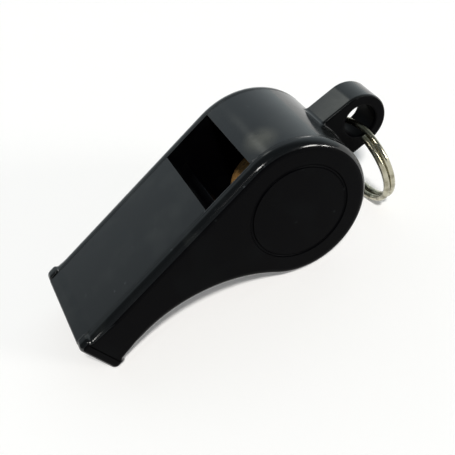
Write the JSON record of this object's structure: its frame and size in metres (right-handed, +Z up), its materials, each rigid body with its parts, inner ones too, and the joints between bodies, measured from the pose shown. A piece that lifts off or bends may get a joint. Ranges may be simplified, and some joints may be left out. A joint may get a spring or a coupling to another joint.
{
  "type": "sports whistle",
  "caption": "Pea whistle: round sound chamber with a window in its top, a flat beaded mouthpiece, a loose cork pea, and a split ring hanging from a lug for a lanyard.",
  "frame": {"origin": "on the surface the whistle lies on, at the middle of its length and width", "axes": "+X from the mouthpiece towards the lug, +Y across to the left side plate (the user's left when blowing), +Z up from the table"},
  "size_m": [0.0518, 0.0176, 0.021],
  "materials": {
    "body_plastic": "moulded, satin to gloss, black",
    "deck_plastic": "moulded, satin, black, lightly scuffed",
    "plate_plastic": "moulded, gloss, black",
    "cork": "natural cork, ground to a ball",
    "ring_steel": "steel wire, nickel plated"
  },
  "bodies": {
    "whistle": {"centre_body": "body_plastic", "mouthpiece_deck": "deck_plastic", "left_side_plate": "plate_plastic", "right_side_plate": "plate_plastic"},
    "pea": {"cork_pea": "cork"},
    "ring": {"split_ring": "ring_steel"}
  },
  "joints": [
    {"name": "pea_roll", "type": "hinge", "parent": "whistle", "child": "pea", "pos_m": [0.00796, 0, 0.0105], "axis": [0, 1, 0], "continuous": true},
    {"name": "ring_swing", "type": "hinge", "parent": "whistle", "child": "ring", "pos_m": [0.02094, 0, 0.0142], "axis": [0, -1, 0], "range_deg": [-10, 212]}
  ]
}
